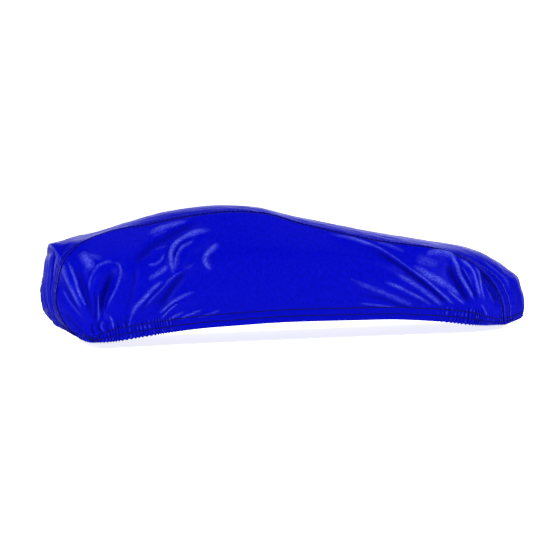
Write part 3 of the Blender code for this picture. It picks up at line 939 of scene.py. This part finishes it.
def satinKnit(name):
    # polyester stretch satin: a saturated blue with a soft sheen, partly real and partly a painted highlight
    # on the crests, that breaks up into fine grain; painted shade darkens its troughs and seams
    material, tree, shader = newMaterial(name)
    place = addNode(tree, "TexCoord")
    flat, solid = {"Vector": place["UV"]}, {"Vector": place["Object"]}
    cloud = addNode(tree, "TexNoise", {"Scale": satin["cloud"], "Detail": 3.0}, solid)
    turned = addNode(tree, "Mapping", {"Rotation": (0, 0, math.radians(satin["ribTurn"])),
                                       "Scale": (1.0, satin["ribLength"], 1.0)}, flat)
    twill = addNode(tree, "TexNoise", {"Scale": 1 / satin["rib"], "Detail": 1.0},
                    {"Vector": turned["Vector"]})
    ribs = addNode(tree, "MapRange", {"From Min": 0.3, "From Max": 0.7}, {"Value": twill["Fac"]})
    tint = addNode(tree, "Mix", {6: hexColour(satin["colour"]), 7: hexColour(satin["deepColour"])},
                   {0: ribs["Result"]}, data_type="RGBA")
    taut = addNode(tree, "Attribute", attribute_type="GEOMETRY", attribute_name="paintedLightAndShade")
    speckle = addNode(tree, "TexNoise", {"Scale": 1 / satin["speckle"], "Detail": 1.0}, flat)
    patches = addNode(tree, "TexNoise", {"Scale": satin["patches"], "Detail": 2.0}, solid)
    mottle = addNode(tree, "MapRange", {"From Min": 0.3, "From Max": 0.7, "To Min": 0.15, "To Max": 1.75},
                     {"Value": speckle["Fac"]})
    uneven = addNode(tree, "MapRange", {"From Min": 0.3, "From Max": 0.65, "To Min": 0.55, "To Max": 1.25},
                     {"Value": patches["Fac"]})
    broken = addNode(tree, "Math", {}, {0: mottle["Result"], 1: uneven["Result"]}, operation="MULTIPLY")
    shade = tint[2]
    # painted highlight on crests, painted shade in troughs and seams, mixed into the base colour by the
    # painted light attribute
    for name, first, last in (("crestHighlightColour", 0.04, 1.0), ("troughShadeColour", -0.05, -0.9),
                              ("seamColour", -1.1, -2.0)):
        amount = addNode(tree, "MapRange", {"From Min": first, "From Max": last}, {"Value": taut["Fac"]})[0]
        if name == "crestHighlightColour":
            amount = addNode(tree, "Math", {}, {0: amount, 1: broken["Value"]},
                             operation="MULTIPLY", use_clamp=True)[0]
        shade = addNode(tree, "Mix", {7: hexColour(satin[name])}, {0: amount, 6: shade}, data_type="RGBA")[2]
    low, high = satin["roughness"]
    rough = addNode(tree, "MapRange", {"To Min": low, "To Max": high}, {"Value": cloud["Fac"]})
    dull = addNode(tree, "MapRange", {"From Min": -0.1, "From Max": -0.9, "To Max": satin["dull"]},
                   {"Value": taut["Fac"]})
    glossAndPaintedShine = addNode(tree, "Math", {}, {0: rough["Result"], 1: dull["Result"]}, operation="ADD")
    grain = addNode(tree, "TexNoise", {"Scale": 1 / satin["grain"], "Detail": 2.0}, flat)
    relief = addNode(tree, "Bump", {"Distance": satin["ribDepth"], "Strength": 1.0},
                     {"Height": ribs["Result"]})
    relief = addNode(tree, "Bump", {"Distance": satin["grainDepth"], "Strength": 1.0},
                     {"Height": grain["Fac"], "Normal": relief["Normal"]})
    setInputs(shader, {"Specular IOR Level": satin["specular"], "Sheen Weight": satin["sheen"],
                       "Sheen Roughness": satin["sheenRoughness"],
                       "Sheen Tint": hexColour(satin["sheenColour"])})
    for name, socket in (("Base Color", shade), ("Roughness", glossAndPaintedShine["Value"]), ("Normal", relief["Normal"])):
        tree.links.new(socket, shader.inputs[name])
    return material


thread = {
    "colours": ("#04053A", "#01021C"),
    "fuzz": (400.0, 0.0004),  # cycles in a metre, and depth
    "lift": 0.35,  # a stitch stands out by this share of its radius
    # radius, length of a stitch and gap between two
    "seam": (0.0036, 0.05, 0.0005),
    "top": (0.0028, 0.025, 0.014),
    "hem": (0.0042, 0.015, 0.0015),
}


def polyesterThread(name):
    # spun polyester thread: near black navy, matt
    material, tree, shader = newMaterial(name)
    scale, depth = thread["fuzz"]
    first, second = (hexColour(colour) for colour in thread["colours"])
    place = addNode(tree, "TexCoord")
    fuzz = addNode(tree, "TexNoise", {"Scale": scale, "Detail": 2.0}, {"Vector": place["Object"]})
    tint = addNode(tree, "Mix", {6: first, 7: second}, {0: fuzz["Fac"]}, data_type="RGBA")
    bump = addNode(tree, "Bump", {"Distance": depth}, {"Height": fuzz["Fac"]})
    tree.links.new(tint[2], shader.inputs["Base Color"])
    tree.links.new(bump["Normal"], shader.inputs["Normal"])
    setInputs(shader, {"Roughness": 0.85, "Specular IOR Level": 0.1})
    return material


# ---- making the pieces ----


def clothPiece(name, points, paintedLightAndShade, replaced):
    # a thin sheet over a grid of points of its outer face; its UV map is in metres
    rows, columns = points.shape[:2]
    mesh = bmesh.new()
    bmesh.ops.create_grid(mesh, x_segments=columns - 1, y_segments=rows - 1, size=1)
    mesh.verts.ensure_lookup_table()
    for vertex, place in zip(mesh.verts, points.reshape(-1, 3) + floorPoint):
        vertex.co = place
    mesh.normal_update()
    mesh.faces.ensure_lookup_table()
    middle = mesh.faces[len(mesh.faces) // 2]
    centre = np.array(middle.calc_center_median())
    if middle.normal.dot(Vector(outward(centre - floorPoint))) < 0:
        bmesh.ops.reverse_faces(mesh, faces=mesh.faces)
    data = bpy.data.meshes.new(name)
    mesh.to_mesh(data)
    mesh.free()
    across, along = metres(points, 0), metres(points, 1)
    uv = np.stack((across, along), axis=-1).reshape(-1, 2)
    loops = np.zeros(len(data.loops), int)
    data.loops.foreach_get("vertex_index", loops)
    layer = data.uv_layers.new(name="cloth")
    layer.data.foreach_set("uv", uv[loops].astype(np.float32).ravel())
    # painted highlight and shade at each point, read by the material
    stored = data.attributes.new("paintedLightAndShade", "FLOAT", "POINT")
    stored.data.foreach_set("value", paintedLightAndShade.astype(np.float32).ravel())
    data.shade_smooth()
    data.materials.append(clothMaterial)
    piece = addObject(name, data)
    thicken = piece.modifiers.new("cloth", "SOLIDIFY")
    thicken.thickness = form["cloth"]
    thicken.offset = -1
    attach(piece, "root")
    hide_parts(replaced)
    print(name, points.shape[:2], "%.3f x %.3f m" % (across[-1].mean(), along[:, -1].mean()))
    return piece


def grid(u, v):
    return np.meshgrid(u, v, indexing="ij")


def stitchRow(name, runs, kind):
    # stitches along lines of surface points; each end of a stitch dips into the cloth
    radius, dash, gap = thread[kind]
    curve = bpy.data.curves.new(name, "CURVE")
    curve.dimensions = "3D"
    curve.bevel_depth = radius
    curve.bevel_resolution = 0
    curve.use_fill_caps = True
    lift = radius * np.array((-1.0, thread["lift"], thread["lift"], -1.0))
    for points in runs:
        length, out = metres(points), outward(points)
        for start in np.arange(0, length[-1] - dash, dash + gap):
            where = start + dash * np.array((0.0, 0.2, 0.8, 1.0))
            spline = curve.splines.new("POLY")
            spline.points.add(len(where) - 1)
            at, way = (np.stack([np.interp(where, length, v[:, c]) for c in range(3)], axis=-1)
                       for v in (points + floorPoint, out))
            for point, place in zip(spline.points, at + lift[:, None] * way):
                point.co = (*place, 1.0)
    holder = addObject(name, curve)
    bpy.context.view_layer.update()
    data = bpy.data.meshes.new_from_object(holder.evaluated_get(bpy.context.evaluated_depsgraph_get()))
    bpy.data.objects.remove(holder)
    data.name = name
    data.materials.clear()
    data.materials.append(threadMaterial)
    piece = addObject(name, data)
    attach(piece, "root")
    return piece


def makeSide(side, sideName):
    panel = SidePanel(side)
    at, down = grid(panel.columns(), panel.rows())
    piece = clothPiece("sidePanel_" + sideName, panel.surface(at, down), panel.paintedLightAndShade(at, down),
                       "side_panel_" + sideName)
    along = np.linspace(form["rearCorner"] + 0.02, form["frontCorner"] - 0.02, 3000)
    runs = []
    for row in gather["rows"]:
        down = np.ones_like(along)
        for _ in range(6):  # find the share down at which the row lies
            down = np.clip(down - (row - panel.ground(along, down)[1]) / sideCloth["depth"], 0.2, 1.0)
        runs.append(panel.surface(along, down))
    return piece, stitchRow("hemStitches_" + sideName, runs, "hem")


def makeTop():
    ends = np.minimum(centreLength, topLength - centreLength) < topCloth["hemZone"]
    lip = np.any([(centreAt > first) & (centreAt < last) for first, last in topCloth["lipZones"]], axis=0)
    size = np.where(ends, topCloth["hemRow"], np.where(lip, topCloth["lipRow"], topCloth["row"]))
    count = np.concatenate(([0], np.cumsum(np.diff(centreLength) / size[1:])))
    at = np.interp(np.linspace(0, count[-1], int(count[-1])), count, centreAt)
    u, share = grid(at, np.linspace(0, 1, topCloth["columns"]))
    right, left = -bandEdge(u, -1), bandEdge(u, 1)
    across = right + (left - right) * share
    tuck = topCloth["tuck"][0] / np.abs(seamPoint(at[:, None], 1)[..., 1])
    across = np.hstack((across[:, :1] - tuck, across, across[:, -1:] + tuck))
    u = at[:, None] + 0 * across
    piece = clothPiece("topPanel", topSurface(u, across), topMove(u, across)[1], "top_panel")
    runs = []
    line = np.linspace(-1, 1, 800)
    onBand = np.linspace(0.02, 0.96, 60)
    for row in gather["rows"]:
        for longer, end, left in zip(topCloth["longer"], ("tail", "nose"), endTurn(line)):
            height = row * left / (1 + longer * line ** 2)
            where = sectionAt(height if end == "tail" else topLength - height)
            runs.append(topSurface(where, line * np.minimum(bandEdge(where, -1), bandEdge(where, 1))))
            for side, last in ((-1, where[0]), (1, where[-1])):
                runs.append(bandSurface(last, onBand, side))
    return piece, stitchRow("endHemStitches", runs, "hem")


def makeBand(side, sideName):
    count = int(topLength / band["row"])
    at, share = grid(sectionAt(np.linspace(0, topLength, count)), band["columns"])
    piece = clothPiece("seamBand_" + sideName, bandSurface(at, share, side), bandPaintedLight(at, share),
                       "seam_band_" + sideName)
    along = np.linspace(0.02, lastSection - 0.02, 4000)
    rows = [bandSurface(along, row, side) for row in band["stitchRows"]]
    return piece, [stitchRow("bandStitches_" + sideName, rows, "top"),
                   stitchRow("seamStitches_" + sideName, [bandSurface(along, 0.995, side)], "seam")]


makeCamera()
clothMaterial = satinKnit("blueSatinKnit")
threadMaterial = polyesterThread("navyThread")
bothSides = ((-1, "right"), (1, "left"))
panels = [makeSide(*side) for side in bothSides]
top, endStitches = makeTop()
bands = [makeBand(*side) for side in bothSides]


# ---- floor and light ----

studio = {
    "floorSize": 400.0,
    "floorColour": "#F4F4F4",
    "air": 0.32,  # even light from all around
    "floorGlow": 0.92,  # lifts the floor to near white, as in the photograph
    "lamps": {  # the last one fills the tops without a reflection of its own
        "left": {"place": (-5.8, -5.0, 3.0), "aim": (0.0, 0.0, -0.6), "size": (4.4, 3.4), "power": 780},
        "right": {"place": (6.8, -4.6, 3.0), "aim": (0.9, 0.0, -0.7), "size": (4.4, 3.4), "power": 780},
        "back": {"place": (0.5, 8.0, 0.35), "aim": (0.5, 0.0, 0.0), "size": (14.0, 1.2), "power": 220},
        "above": {"place": (0.5, 1.5, 5.5), "aim": (0.5, 0.0, 0.0), "size": (6.0, 4.0), "power": 420},
    },
}


def areaLight(name, place, aim, size, power):
    data = bpy.data.lights.new(name, "AREA")
    data.shape = "RECTANGLE"
    data.size, data.size_y = size
    data.energy = power
    light = addObject(name, data)
    turn = (Vector(aim) - Vector(place)).to_track_quat("-Z", "Y").to_matrix().to_4x4()
    light.matrix_world = Matrix.Translation(Vector(place)) @ turn
    light.visible_camera = False
    light.visible_glossy = name != "above"


def makeFloor():
    mesh = bmesh.new()
    bmesh.ops.create_grid(mesh, x_segments=1, y_segments=1, size=studio["floorSize"] / 2)
    bmesh.ops.translate(mesh, verts=mesh.verts, vec=(0, 0, floorZ))
    data = bpy.data.meshes.new("floor")
    mesh.to_mesh(data)
    mesh.free()
    material, tree, shader = newMaterial("palePaint")  # matt white paint
    pale = hexColour(studio["floorColour"])
    setInputs(shader, {"Base Color": pale, "Roughness": 0.9, "Specular IOR Level": 0.0,
                       "Emission Color": pale, "Emission Strength": studio["floorGlow"]})
    data.materials.append(material)
    floor = addObject("floor", data)
    floor.visible_glossy = False


def makeWorld():
    world = bpy.data.worlds.new("studioAir")
    bpy.context.scene.world = world
    world.use_nodes = True
    tree = world.node_tree
    background = tree.nodes["Background"]
    setInputs(background, {"Color": (1, 1, 1, 1)})
    rays = addNode(tree, "LightPath")
    level = addNode(tree, "MapRange", {"To Min": studio["air"], "To Max": 1.0},
                    {"Value": rays["Is Camera Ray"]})
    tree.links.new(level["Result"], background.inputs["Strength"])
    world.cycles_visibility.glossy = False


makeFloor()
makeWorld()
for name, lamp in studio["lamps"].items():
    areaLight(name, **lamp)
bpy.context.scene.view_settings.view_transform = "Standard"
print("floor and lights placed")
